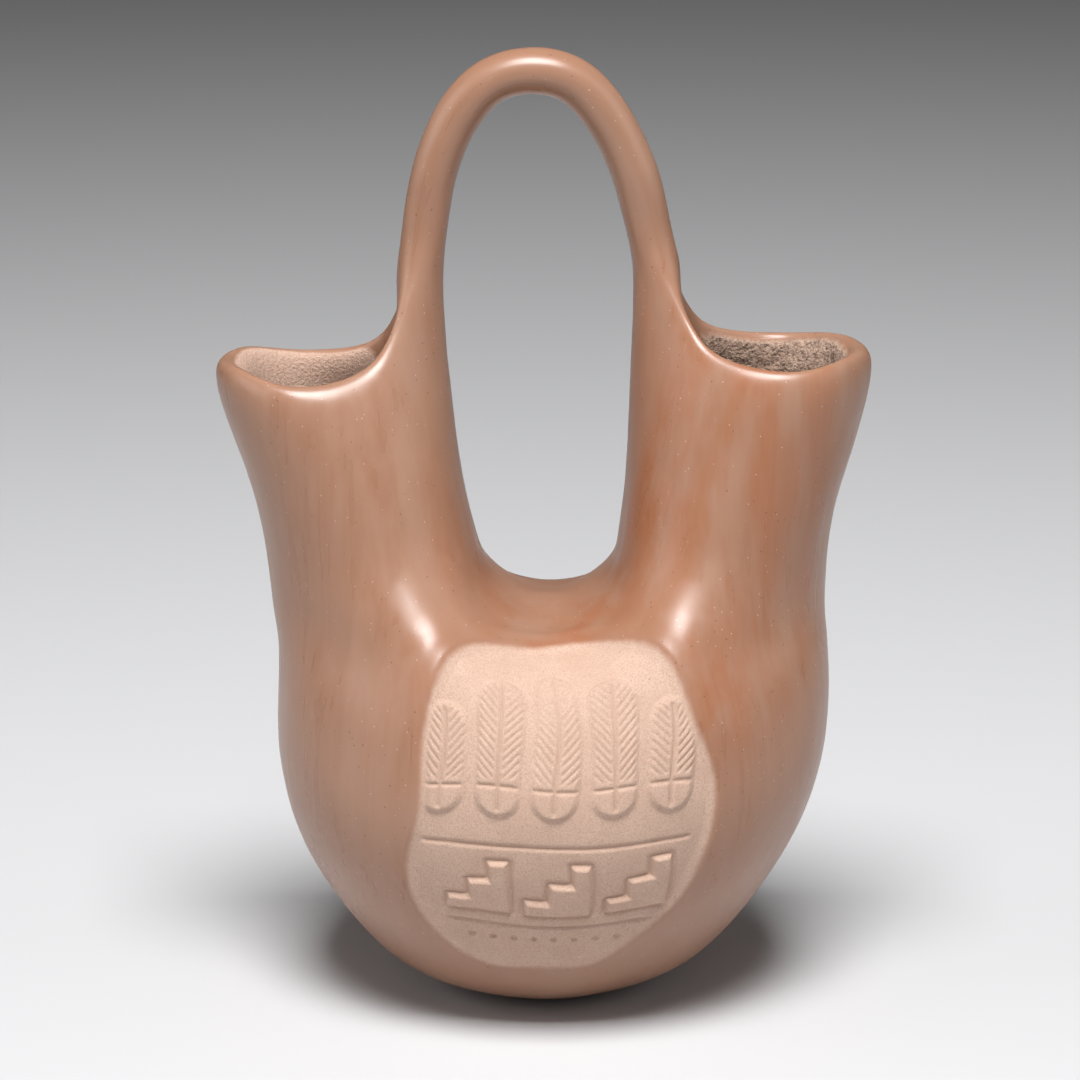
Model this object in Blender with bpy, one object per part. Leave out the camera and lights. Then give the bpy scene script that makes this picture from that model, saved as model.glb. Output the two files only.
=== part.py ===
"""Wedding vase: a round-bottomed clay jar with two flared necks that share one chamber, joined by a
stirrup handle. It is divided into the pieces of clay that its maker forms and lutes together: a moulded
base, coil courses, the collar with the saddle, the necks, the lips and the handle.

Metres, +Z up. The origin is the centre of the foot, X runs from neck to neck and -Y is the front.
"""

import math
from dataclasses import dataclass

import bmesh
import bpy
from mathutils import Matrix, Vector


@dataclass
class Side:
    """One half of the vase. Gap and reach are distances from the middle plane to a neck's two faces, and
    the outer end of the mouth is pulled up by tip_rise. The foot of the leg reaches
    root_width from the gap, and the corners where the lips meet it reach corner_width."""

    name: str
    sign: int
    belly_reach: float
    foot_gap: float
    foot_reach: float
    waist_gap: float
    waist_reach: float
    middle_gap: float
    middle_reach: float
    mouth_gap: float
    mouth_reach: float
    mouth_half_depth: float
    tip_rise: float
    rim_height: float
    handle_half_span: float
    root_width: float
    corner_width: float


@dataclass
class Joint:
    """Where two pieces of clay meet: the height at the wall, and how the faces fall towards a centre."""

    height: float
    centre: float
    wall_radius: float
    slope: float


# The hand-built vase is a little different on its two sides.
LEFT = Side(
    name="left",
    sign=-1,
    belly_reach=0.0537,
    foot_gap=0.0101,
    foot_reach=0.0547,
    waist_gap=0.0139,
    waist_reach=0.0564,
    middle_gap=0.0169,
    middle_reach=0.0602,
    mouth_gap=0.0192,
    mouth_reach=0.0652,
    mouth_half_depth=0.0215,
    tip_rise=0.0025,
    rim_height=0.1238,
    handle_half_span=0.0242,
    root_width=0.0093,
    corner_width=0.0101,
)
RIGHT = Side(
    name="right",
    sign=1,
    belly_reach=0.0577,
    foot_gap=0.0121,
    foot_reach=0.0564,
    waist_gap=0.0148,
    waist_reach=0.0573,
    middle_gap=0.0163,
    middle_reach=0.0608,
    mouth_gap=0.0169,
    mouth_reach=0.0648,
    mouth_half_depth=0.0225,
    tip_rise=0.0016,
    rim_height=0.1266,
    handle_half_span=0.0226,
    root_width=0.0097,
    corner_width=0.0115,
)

# Body
FOOT_RADIUS = 0.0180
FOOT_CROWN = 0.0008  # how far the moulded base bulged below the foot before it was rubbed flat
SOLE_SHARE = 0.55  # width of the middle of the foot, as a share of the foot
RING_HEIGHTS = (0.004, 0.014, 0.031, 0.050)
BELLY_HEIGHT = 0.059
BELLY_HALF_DEPTH = 0.0515
DEEPEST_HEIGHT = 0.048
SHOULDER_HEIGHT = 0.069
SHOULDER_VALLEY = 0.0005  # how far the front and back are pressed in and down below the saddle
WALL = 0.0042

# Saddle and necks
SADDLE_HEIGHT = 0.0797
SADDLE_SHIFT = 0.0010  # the saddle sits a little to the right
SADDLE_DROP = 0.0022  # from the middle of the saddle to the points half way to its front and back
SADDLE_HALF_DEPTH = 0.017
NECK_FOOT_RISE = 0.0052
NECK_FOOT_TILT = 0.0030
NECK_FOOT_HALF_DEPTH = 0.0318
NECK_FOOT_SKEW = 0.30  # how much deeper a neck's foot is towards the saddle than away from it
WAIST_HEIGHT = 0.094
WAIST_HALF_DEPTH = 0.0270
WAIST_SKEW = 0.12
MIDDLE_HEIGHT = 0.109
MIDDLE_HALF_DEPTH = 0.0242
TIP_FOCUS = 8  # how closely the raised tip keeps to the outer end of the mouth

# Handle
HANDLE_TOP = 0.190
HANDLE_THICKNESS = 0.0091
HANDLE_DEPTH = 0.0100
SPRING_HEIGHT = 0.137  # where the legs turn into the arch
ARCH_FULLNESS = 2.30  # 2 is an ellipse, more is squarer at the haunches
HANDLE_LEAN = -0.0022

# Roots, where the rim climbs into the legs of the handle
ROOT_RISE = 0.0122  # how far the rim climbs before the leg leaves it
ROOT_HALF_DEPTH = 0.0120
LIP_TURN = math.radians(30)  # how the lips turn from the front and back towards the mouth
FLANK_CLIMB = 0.20  # the lips' share of that climb before they reach the corners
MOUTH_PINCH = 0.84  # how the lips draw together towards the leg
LIP_THICKNESS = 0.0036
TIP_THICKNESS = 0.0064  # of the lip at the outer end of the mouth
TIP_FALL = 0.0008  # how far that lip slopes down into the mouth

# Joints between the pieces of clay
JOINT_GAP = 0.0003
JOINT_SLOPE = 0.35  # each joint falls inwards, so that a piece seats in the one below it
FLOOR_COVER = 0.000575  # from the inner floor up to where the lowest joint would meet the axis
BASE_JOINT = WALL - FOOT_CROWN + FLOOR_COVER + JOINT_SLOPE * BELLY_HALF_DEPTH
BELLY_COURSES = ("belly_coil_lower", "belly_coil_middle", "belly_coil_upper")
SHOULDER_JOINT = 0.071
NECK_JOINT = 0.095
LIP_JOINT = 0.110
LEG_JOINT_RISE = 0.0165  # from the rim to the joint in the leg
ARCH_JOINT = 0.152

# Smoothing
BODY_SEGMENTS = 12
NECK_SEGMENTS = 10
LEG_SEGMENTS = 6
ARCH_STEPS = 11
SMOOTH_LEVELS = 2
CUTTER_SEGMENTS = 48
FIT_STEPS = 12
EASE_STEPS = 8
EASE_FACTOR = 0.5
ROOT_EASE = 0.6
LEG_EASE = 0.4
LIP_EASE = 0.4
SHOULDER_EASE = 1.0

CLAY_COLOUR = (0.44, 0.24, 0.15, 1.0)
CLAY_ROUGHNESS = 0.33

REACH = 0.130  # past every wall of the vase


def bowl_arc(widest, widest_height, height):
    """Half-width at a height, on an ellipse that stands on the edge of the foot."""
    fall = math.sqrt(widest**2 - FOOT_RADIUS**2) / widest_height
    return math.sqrt(widest**2 - ((widest_height - height) * fall) ** 2)


def body_half_depth(height):
    """Half-depth of the body, which closes from its deepest height up to the mouths."""
    if height <= DEEPEST_HEIGHT:
        return bowl_arc(BELLY_HALF_DEPTH, DEEPEST_HEIGHT, height)
    mouth_depth = (LEFT.mouth_half_depth + RIGHT.mouth_half_depth) / 2
    mouth_height = (LEFT.rim_height + RIGHT.rim_height) / 2
    share = (height - DEEPEST_HEIGHT) / (mouth_height - DEEPEST_HEIGHT)
    ease = 0.5 + 0.5 * math.cos(math.pi * share)
    return mouth_depth + (BELLY_HALF_DEPTH - mouth_depth) * ease


def body_ring(bm, height):
    """A ring of the body, from the front round by the right. Up to the belly it moves to the fuller side,
    and from there the sides run straight up."""
    rise = min(height, BELLY_HEIGHT)
    half_width = bowl_arc((LEFT.belly_reach + RIGHT.belly_reach) / 2, BELLY_HEIGHT, rise)
    bulge = (RIGHT.belly_reach - LEFT.belly_reach) / 2 * (rise / BELLY_HEIGHT) ** 2
    place = Matrix.Translation((bulge, 0, height))
    size = Matrix.Diagonal((half_width, body_half_depth(height), 1, 1))
    front_first = Matrix.Rotation(math.pi, 4, "Z")
    made = bmesh.ops.create_circle(
        bm, segments=BODY_SEGMENTS, radius=1, matrix=place @ size @ front_first
    )
    return made["verts"]


def neck_ring(bm, side, height, gap, reach, half_depth, skew=0.0, tilt=0.0):
    """A ring of a neck, from the face beside the gap round by the front. Skew deepens that side and tilt
    lifts it."""
    place = Matrix.Translation((side.sign * (gap + reach) / 2, 0, height))
    size = Matrix.Diagonal((side.sign * (reach - gap) / 2, half_depth, 1, 1))
    gap_first = Matrix.Rotation(math.pi / 2, 4, "Z")
    made = bmesh.ops.create_circle(
        bm, segments=NECK_SEGMENTS, radius=1, matrix=place @ size @ gap_first
    )
    for step, vert in enumerate(made["verts"]):
        toward_gap = math.cos(2 * math.pi * step / NECK_SEGMENTS)
        vert.co.y *= 1 + skew * toward_gap
        vert.co.z += tilt * toward_gap
    return made["verts"]


def stitch(bm, lower, upper):
    """Quads between two rings whose points run alike."""
    for i in range(len(lower)):
        j = (i + 1) % len(lower)
        bm.faces.new((lower[i], lower[j], upper[j], upper[i]))


def stack(bm, rings):
    for lower, upper in zip(rings, rings[1:]):
        stitch(bm, lower, upper)


def ease(verts, ease_layer, weight):
    """Marks points where a thumb drew the clay smooth."""
    for vert in verts:
        vert[ease_layer][0] = weight


def add_body(bm):
    """The bowl up to the shoulder. Returns the shoulder ring."""
    rings = [body_ring(bm, height) for height in (*RING_HEIGHTS, SHOULDER_HEIGHT)]
    sole = bmesh.ops.create_circle(
        bm, segments=BODY_SEGMENTS, radius=FOOT_RADIUS * SOLE_SHARE,
        matrix=Matrix.Translation((0, 0, -FOOT_CROWN)) @ Matrix.Rotation(math.pi, 4, "Z"),
    )["verts"]
    stack(bm, [sole, *rings])
    bm.faces.new(list(reversed(sole)))
    bmesh.ops.poke(bm, faces=[bm.faces[:][-1]])
    shoulder = rings[-1]
    shoulder[0].co += Vector((0, SHOULDER_VALLEY, -SHOULDER_VALLEY))
    shoulder[BODY_SEGMENTS // 2].co += Vector((0, -SHOULDER_VALLEY, -SHOULDER_VALLEY))
    return shoulder


def add_saddle(bm):
    """The three points of the saddle's ridge, from front to back."""
    low = SADDLE_HEIGHT - SADDLE_DROP
    ridge = ((-SADDLE_HALF_DEPTH, low), (0, SADDLE_HEIGHT), (SADDLE_HALF_DEPTH, low))
    return [bm.verts.new((SADDLE_SHIFT, depth, height)) for depth, height in ridge]


def add_neck(bm, side, shoulder, saddle, ease_layer):
    """A neck on its half of the shoulder and the saddle. Returns its rim ring."""
    half = [shoulder[side.sign * i] for i in range(BODY_SEGMENTS // 2 + 1)]
    base = [saddle[1], saddle[0], *half, saddle[2]]
    foot_height = SADDLE_HEIGHT + NECK_FOOT_RISE - NECK_FOOT_TILT
    foot = neck_ring(
        bm, side, foot_height, side.foot_gap, side.foot_reach, NECK_FOOT_HALF_DEPTH, NECK_FOOT_SKEW,
        NECK_FOOT_TILT,
    )
    waist = neck_ring(
        bm, side, WAIST_HEIGHT, side.waist_gap, side.waist_reach, WAIST_HALF_DEPTH, WAIST_SKEW
    )
    middle = neck_ring(bm, side, MIDDLE_HEIGHT, side.middle_gap, side.middle_reach, MIDDLE_HALF_DEPTH)
    rim = neck_ring(
        bm, side, side.rim_height, side.mouth_gap, side.mouth_reach, side.mouth_half_depth
    )
    stack(bm, [base, foot, waist, middle, rim])
    shape_rim(rim, side)
    ease([rim[1], rim[2], rim[-2], rim[-1]], ease_layer, LIP_EASE)
    ease(foot[2:-1] + waist[2:-1] + half[1:-1], ease_layer, SHOULDER_EASE)
    return rim


def shape_rim(rim, side):
    """Lifts the outer end of the mouth, draws the lips together towards the leg and lets them climb."""
    middle, corners, flanks = rim[0], (rim[1], rim[-1]), (rim[2], rim[-2])
    for step, vert in enumerate(rim):
        vert.co.z += side.tip_rise * math.sin(math.pi * step / NECK_SEGMENTS) ** TIP_FOCUS
    for vert in flanks:
        vert.co.y *= MOUTH_PINCH
        vert.co.z += ROOT_RISE * FLANK_CLIMB
    for vert in corners:
        vert.co.x = side.sign * (side.mouth_gap + side.corner_width)
        vert.co.y = math.copysign(ROOT_HALF_DEPTH, vert.co.y)
        vert.co.z += ROOT_RISE
    middle.co.z += ROOT_RISE


def leg_root(bm, side, rim, inner_of):
    """Opens the two rim faces beside the gap. Returns their six corners, gap side first, by the front."""
    front, middle, back = rim[1], rim[0], rim[-1]
    for pair in ((front, middle), (middle, back)):
        corners = set(pair) | {inner_of[v] for v in pair}
        face = next(f for f in pair[0].link_faces if set(f.verts) == corners)
        bm.faces.remove(face)
    bm.edges.remove(bm.edges.get((middle, inner_of[middle])))
    for vert in (front, back):
        inward = -math.copysign(math.cos(LIP_TURN), vert.co.y)
        step = Vector((side.sign * math.sin(LIP_TURN), inward, 0))
        inner_of[vert].co = vert.co + step * LIP_THICKNESS
    inner_of[middle].co = middle.co + Vector((side.sign * side.root_width, 0, 0))
    return [middle, front, inner_of[front], inner_of[middle], inner_of[back], back]


def thicken_tip(rim, inner_of):
    """Leaves the lip thicker at the outer end of the mouth, and slopes it inwards."""
    tip = rim[NECK_SEGMENTS // 2]
    inward = -math.copysign(TIP_THICKNESS, tip.co.x)
    inner_of[tip].co = tip.co + Vector((inward, 0, -TIP_FALL))


def arch_frame(turn):
    """Centre of the handle and the direction to the inside of the arch, at a turn from the left leg."""
    half_span = LEFT.handle_half_span if turn < math.pi / 2 else RIGHT.handle_half_span
    rise = HANDLE_TOP - HANDLE_THICKNESS / 2 - SPRING_HEIGHT
    share = abs(math.cos(turn)) ** (2 / ARCH_FULLNESS)
    across = -math.copysign(share, math.cos(turn))
    up = math.sin(turn)
    centre = Vector((across * half_span + HANDLE_LEAN * up, 0, SPRING_HEIGHT + rise * up))
    outward_x = math.copysign(ARCH_FULLNESS * share ** (ARCH_FULLNESS - 1), across) / half_span
    inward = -Vector((outward_x, 0, 2 * up / rise)).normalized()
    return centre, inward


def handle_ring(bm, centre, inward, half_thickness, half_depth):
    """Six points round the handle, gap side first and then by the front."""
    ring = []
    for step in range(LEG_SEGMENTS):
        angle = 2 * math.pi * step / LEG_SEGMENTS
        across = inward * (half_thickness * math.cos(angle))
        ring.append(bm.verts.new(centre + across - Vector((0, half_depth * math.sin(angle), 0))))
    return ring


def add_handle(bm, left_root, right_root, ease_layer):
    """The stirrup from one climbing rim to the other."""
    arch = []
    for step in range(1, ARCH_STEPS):
        centre, inward = arch_frame(math.pi * step / ARCH_STEPS)
        arch.append(handle_ring(bm, centre, inward, HANDLE_THICKNESS / 2, HANDLE_DEPTH / 2))
    ease([*left_root, *right_root], ease_layer, ROOT_EASE)
    ease([*arch[0], *arch[-1]], ease_layer, LEG_EASE)
    stack(bm, [left_root, *arch, right_root])


def thicken(bm, wall):
    """Gives the open skin an inner face and lips. Returns the inner point of each outer point."""
    bm.normal_update()
    outer_faces = list(bm.faces)
    rim_edges = [edge for edge in bm.edges if edge.is_boundary]
    inner_of = {v: bm.verts.new(v.co - v.normal * v.calc_shell_factor() * wall) for v in bm.verts[:]}
    for face in outer_faces:
        bm.faces.new([inner_of[v] for v in reversed(face.verts)])
    for edge in rim_edges:
        a, b = edge.verts
        bm.faces.new((a, b, inner_of[b], inner_of[a]))
    bmesh.ops.recalc_face_normals(bm, faces=bm.faces)
    return inner_of


def fit_cage(obj):
    """Subdivision draws a surface inside its cage. This swells the cage until the smooth surface passes
    through the points that were drawn. Points where other than four edges meet only guide the surface."""
    mesh = obj.data
    edge_count = [0] * len(mesh.vertices)
    for edge in mesh.edges:
        for i in edge.vertices:
            edge_count[i] += 1
    drawn = [(i, vert.co.copy()) for i, vert in enumerate(mesh.vertices) if edge_count[i] == 4]
    for _ in range(FIT_STEPS):
        graph = bpy.context.evaluated_depsgraph_get()
        smooth = obj.evaluated_get(graph).data.vertices
        misses = [want - smooth[i].co for i, want in drawn]
        for (i, _want), miss in zip(drawn, misses):
            mesh.vertices[i].co += miss
        mesh.update()


def whole_vase():
    """The mesh of the finished vase, before it is divided into its pieces of clay."""
    bm = bmesh.new()
    ease_layer = bm.verts.layers.deform.verify()
    shoulder = add_body(bm)
    saddle = add_saddle(bm)
    rims = [add_neck(bm, side, shoulder, saddle, ease_layer) for side in (LEFT, RIGHT)]
    bmesh.ops.recalc_face_normals(bm, faces=bm.faces)
    inner_of = thicken(bm, WALL)
    for rim in rims:
        thicken_tip(rim, inner_of)
    roots = [leg_root(bm, side, rim, inner_of) for side, rim in zip((LEFT, RIGHT), rims)]
    add_handle(bm, *roots, ease_layer)
    bmesh.ops.recalc_face_normals(bm, faces=bm.faces)
    mesh = bpy.data.meshes.new("vase_cage")
    bm.to_mesh(mesh)
    bm.free()
    cage = bpy.data.objects.new("vase_cage", mesh)
    bpy.context.collection.objects.link(cage)
    smooth = cage.modifiers.new("smooth", "SUBSURF")
    smooth.levels = smooth.render_levels = SMOOTH_LEVELS
    fit_cage(cage)
    cage.vertex_groups.new(name="ease")
    drawn_smooth = cage.modifiers.new("drawn_smooth", "SMOOTH")
    drawn_smooth.vertex_group = "ease"
    drawn_smooth.factor = EASE_FACTOR
    drawn_smooth.iterations = EASE_STEPS
    graph = bpy.context.evaluated_depsgraph_get()
    vase = bpy.data.meshes.new_from_object(cage.evaluated_get(graph))
    vase.name = "vase"
    vase.shade_smooth()
    bpy.data.objects.remove(cage)
    return vase


def slab_cutter(name, lower, upper, radius=REACH):
    """A round slab between two joints. The clearance is shared out on both sides of each joint."""
    bm = bmesh.new()
    bottom = lower.height + JOINT_GAP / 2
    top = upper.height - JOINT_GAP / 2
    middle = (bottom + top) / 2
    made = bmesh.ops.create_cone(
        bm, cap_ends=True, cap_tris=True, segments=CUTTER_SEGMENTS, radius1=radius, radius2=radius,
        depth=top - bottom, matrix=Matrix.Translation((0, 0, middle)),
    )
    for vert in made["verts"]:
        joint = lower if vert.co.z < middle else upper
        vert.co.z += joint.slope * (math.hypot(vert.co.x, vert.co.y) - joint.wall_radius)
        vert.co.x += joint.centre
    return cutter_object(name, bm)


def cutter_object(name, bm):
    """A hidden helper from a bmesh."""
    mesh = bpy.data.meshes.new(name)
    bm.to_mesh(mesh)
    bm.free()
    cutter = bpy.data.objects.new(name, mesh)
    cutter.hide_render = True
    cutter.display_type = "WIRE"
    bpy.context.collection.objects.link(cutter)
    return cutter


def clay_material():
    clay = bpy.data.materials.new("polished_clay")
    clay.use_nodes = True
    shader = clay.node_tree.nodes["Principled BSDF"]
    shader.inputs["Base Color"].default_value = CLAY_COLOUR
    shader.inputs["Roughness"].default_value = CLAY_ROUGHNESS
    shader.inputs["Metallic"].default_value = 0.0
    return clay


def clay_piece(name, vase, kept=None, removed=()):
    """The part of the vase inside the kept cutter and outside the removed ones."""
    piece = bpy.data.objects.new(name, vase)
    bpy.context.collection.objects.link(piece)
    cuts = [(kept, "INTERSECT")] if kept else []
    cuts += [(cutter, "DIFFERENCE") for cutter in removed]
    for cutter, operation in cuts:
        cut = piece.modifiers.new(f"{operation.lower()}_{cutter.name}", "BOOLEAN")
        cut.operation = operation
        cut.object = cutter
    return piece


def body_joint(height):
    return Joint(height, 0.0, BELLY_HALF_DEPTH, JOINT_SLOPE)


def neck_joint(side):
    centre = (side.waist_gap + side.waist_reach) / 2
    return Joint(NECK_JOINT, side.sign * centre, centre - side.waist_gap, JOINT_SLOPE)


def lip_joint(side):
    centre = (side.middle_gap + side.middle_reach) / 2
    return Joint(LIP_JOINT, side.sign * centre, centre - side.middle_gap, JOINT_SLOPE)


def flat_joint(height, centre):
    return Joint(height, centre, 0.0, 0.0)


def floor_cutter():
    """Everything below the foot, which is rubbed flat."""
    bm = bmesh.new()
    bmesh.ops.create_cube(bm, size=2 * REACH, matrix=Matrix.Translation((0, 0, -REACH)))
    return cutter_object("floor_cutter", bm)


def body_pieces(vase):
    """The moulded base and the coil courses of the belly."""
    count = len(BELLY_COURSES)
    step = (SHOULDER_JOINT - BASE_JOINT) / count
    joints = [body_joint(BASE_JOINT + step * i) for i in range(count + 1)]
    below = slab_cutter("base_cutter", flat_joint(-REACH, 0.0), joints[0])
    pieces = [clay_piece("moulded_base", vase, kept=below, removed=(floor_cutter(),))]
    for name, lower, upper in zip(BELLY_COURSES, joints, joints[1:]):
        pieces.append(clay_piece(name, vase, kept=slab_cutter(f"{name}_cutter", lower, upper)))
    return pieces


def collar_piece(vase):
    """The collar with the saddle, which closes the body and carries both necks."""
    kept = slab_cutter("collar_cutter", body_joint(SHOULDER_JOINT), flat_joint(SPRING_HEIGHT, 0.0))
    above = []
    for side in (LEFT, RIGHT):
        joint = neck_joint(side)
        joint.height -= JOINT_GAP
        sky = flat_joint(2 * HANDLE_TOP, joint.centre)
        above.append(slab_cutter(f"above_{side.name}_neck_cutter", joint, sky, abs(joint.centre)))
    return clay_piece("saddle_collar", vase, kept=kept, removed=above)


def neck_pieces(vase, side):
    """The neck coil, the lip coil with the climbing rim, and the wad of clay at the root of the handle."""
    name = side.name
    neck = neck_joint(side)
    lip = lip_joint(side)
    leg_height = side.rim_height + LEG_JOINT_RISE
    leg_centre = side.sign * side.handle_half_span
    neck_cutter = slab_cutter(f"{name}_neck_cutter", neck, lip, abs(neck.centre))
    lip_cutter = slab_cutter(
        f"{name}_lip_cutter", lip, flat_joint(leg_height, lip.centre), abs(lip.centre)
    )
    root_cutter = slab_cutter(
        f"{name}_root_cutter", flat_joint(leg_height, leg_centre), flat_joint(ARCH_JOINT, leg_centre),
        abs(leg_centre),
    )
    return [
        clay_piece(f"{name}_neck_coil", vase, kept=neck_cutter),
        clay_piece(f"{name}_lip_coil", vase, kept=lip_cutter),
        clay_piece(f"{name}_handle_root", vase, kept=root_cutter),
    ]


def handle_piece(vase):
    above = slab_cutter("arch_cutter", flat_joint(ARCH_JOINT, 0.0), flat_joint(2 * HANDLE_TOP, 0.0))
    return clay_piece("handle_arch", vase, kept=above)


def main():
    for obj in list(bpy.data.objects):
        bpy.data.objects.remove(obj)
    vase = whole_vase()
    vase.materials.append(clay_material())
    pieces = body_pieces(vase) + [collar_piece(vase), handle_piece(vase)]
    for side in (LEFT, RIGHT):
        pieces += neck_pieces(vase, side)
    root = bpy.data.objects.new("wedding_vase", None)
    bpy.context.collection.objects.link(root)
    for piece in pieces:
        piece.parent = root


main()
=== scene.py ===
"""Looks of the wedding vase: stone-polished clay skin, a carved sandy panel on the front, rough mouths.

The skin is one smooth form, cut along the joints between the pieces of clay, so each piece stands for one
node of the frame and the joints stay as invisible as the maker left them. Metres, +Z up, -Y is the front.
"""

import itertools
import math
from collections import namedtuple
from types import SimpleNamespace

import bmesh
import bpy
import numpy as np
from mathutils import Matrix, Vector, noise


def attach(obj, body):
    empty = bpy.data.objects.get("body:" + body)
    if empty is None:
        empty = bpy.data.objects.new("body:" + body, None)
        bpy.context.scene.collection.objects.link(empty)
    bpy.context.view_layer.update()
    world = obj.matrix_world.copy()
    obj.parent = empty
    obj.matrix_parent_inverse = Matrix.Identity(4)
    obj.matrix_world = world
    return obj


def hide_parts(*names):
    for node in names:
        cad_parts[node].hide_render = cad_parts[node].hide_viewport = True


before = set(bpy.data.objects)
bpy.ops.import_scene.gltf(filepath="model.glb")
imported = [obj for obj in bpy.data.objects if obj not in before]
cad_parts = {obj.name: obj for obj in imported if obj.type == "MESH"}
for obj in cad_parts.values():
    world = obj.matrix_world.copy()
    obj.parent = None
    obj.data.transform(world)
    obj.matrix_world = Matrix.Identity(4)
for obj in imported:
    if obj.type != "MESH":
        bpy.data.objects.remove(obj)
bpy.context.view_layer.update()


# Where two pieces of clay meet: the height at the wall, and how the faces fall towards a centre
Joint = namedtuple("Joint", "height centre wall_radius slope")

# The halves of the vase. The foot, waist, middle and mouth of a neck are its gap and its reach there: the
# distances from the middle plane to its near and far faces
LEFT = SimpleNamespace(
    name="left", sign=-1, belly_reach=0.0537, foot=(0.0101, 0.0547), waist=(0.0139, 0.0564),
    middle=(0.0169, 0.0602), mouth=(0.0192, 0.0652), mouth_half_depth=0.0215, tip_rise=0.0025,
    rim_height=0.1238, handle_half_span=0.0242, root_width=0.0093, corner_width=0.0101,
)
RIGHT = SimpleNamespace(
    name="right", sign=1, belly_reach=0.0577, foot=(0.0121, 0.0564), waist=(0.0148, 0.0573),
    middle=(0.0163, 0.0608), mouth=(0.0169, 0.0648), mouth_half_depth=0.0225, tip_rise=0.0016,
    rim_height=0.1266, handle_half_span=0.0226, root_width=0.0097, corner_width=0.0115,
)

# Body
FOOT_RADIUS = 0.0180
FOOT_CROWN = 0.0008
SOLE_SHARE = 0.55
RING_HEIGHTS = (0.004, 0.014, 0.031, 0.050)
BELLY_HEIGHT = 0.059
BELLY_HALF_DEPTH = 0.0515
DEEPEST_HEIGHT = 0.048
SHOULDER_HEIGHT = 0.069
SHOULDER_VALLEY = 0.0005
WALL = 0.0042

# Saddle and necks
SADDLE_HEIGHT = 0.0797
SADDLE_SHIFT = 0.0010
SADDLE_DROP = 0.0022
SADDLE_HALF_DEPTH = 0.017
NECK_FOOT_RISE = 0.0052
NECK_FOOT_TILT = 0.0030
NECK_FOOT_HALF_DEPTH = 0.0318
NECK_FOOT_SKEW = 0.30
WAIST_HEIGHT = 0.094
WAIST_HALF_DEPTH = 0.0270
WAIST_SKEW = 0.12
MIDDLE_HEIGHT = 0.109
MIDDLE_HALF_DEPTH = 0.0242
TIP_FOCUS = 8

# Handle and its roots
HANDLE_TOP = 0.190
HANDLE_THICKNESS = 0.0091
HANDLE_DEPTH = 0.0100
SPRING_HEIGHT = 0.137
ARCH_FULLNESS = 2.30
HANDLE_LEAN = -0.0022
ROOT_RISE = 0.0122
ROOT_HALF_DEPTH = 0.0120
LIP_TURN = math.radians(30)
FLANK_CLIMB = 0.20
MOUTH_PINCH = 0.84
LIP_THICKNESS = 0.0036
TIP_THICKNESS = 0.0064
TIP_FALL = 0.0008

# Joints between the pieces of clay
JOINT_SLOPE = 0.35
FLOOR_COVER = 0.000575
BASE_JOINT = WALL - FOOT_CROWN + FLOOR_COVER + JOINT_SLOPE * BELLY_HALF_DEPTH
BELLY_COURSES = ("belly_coil_lower", "belly_coil_middle", "belly_coil_upper")
SHOULDER_JOINT = 0.071
NECK_JOINT = 0.095
LIP_JOINT = 0.110
LEG_JOINT_RISE = 0.0165
ARCH_JOINT = 0.152

# Smoothing
BODY_SEGMENTS = 12
NECK_SEGMENTS = 10
LEG_SEGMENTS = 6
ARCH_STEPS = 11
FIT_LEVELS = 2
FIT_STEPS = 12
EASE_STEPS = 8
EASE_FACTOR = 0.5
ROOT_EASE = 0.6
LEG_EASE = 0.4
LIP_EASE = 0.4
SHOULDER_EASE = 1.0
SKIN_LEVELS = 4
ROOT_BARE = (0.0, 0.55)  # share of bare clay in the mouth, beside the left leg and the right one
PANEL_CUTS = 6
PANEL_SMOOTHING = 6

# Camera, at the photograph's viewing angle
CAMERA_TARGET = Vector((-0.00087, 0.0, 0.09121))
CAMERA_DISTANCE = 0.89826
CAMERA_ELEVATION = math.radians(14)
CAMERA_LENS = 100.0
CAMERA_SENSOR = 24.0
CAMERA_NEAR = 0.01


def unique(items):
    return list(dict.fromkeys(items))


def new_object(name, data):
    made = bpy.data.objects.new(name, data)
    bpy.context.collection.objects.link(made)
    return made


def new_mesh(name, bm):
    made = bpy.data.meshes.new(name)
    bm.to_mesh(made)
    bm.free()
    return made


def bowl_arc(widest, widest_height, height):
    """Half-width at a height, on an ellipse that stands on the edge of the foot."""
    fall = math.sqrt(widest**2 - FOOT_RADIUS**2) / widest_height
    return math.sqrt(widest**2 - ((widest_height - height) * fall) ** 2)


def body_half_depth(height):
    """Half-depth of the body, which closes from its deepest height up to the mouths."""
    if height <= DEEPEST_HEIGHT:
        return bowl_arc(BELLY_HALF_DEPTH, DEEPEST_HEIGHT, height)
    mouth_depth = (LEFT.mouth_half_depth + RIGHT.mouth_half_depth) / 2
    mouth_height = (LEFT.rim_height + RIGHT.rim_height) / 2
    share = (height - DEEPEST_HEIGHT) / (mouth_height - DEEPEST_HEIGHT)
    ease = 0.5 + 0.5 * math.cos(math.pi * share)
    return mouth_depth + (BELLY_HALF_DEPTH - mouth_depth) * ease


def ring(bm, segments, place, half_size, start):
    """Points on a level ellipse, the first of them after a turn."""
    size = Matrix.Diagonal((*half_size, 1, 1))
    matrix = Matrix.Translation(place) @ size @ Matrix.Rotation(start, 4, "Z")
    return bmesh.ops.create_circle(bm, segments=segments, radius=1, matrix=matrix)["verts"]


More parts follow.
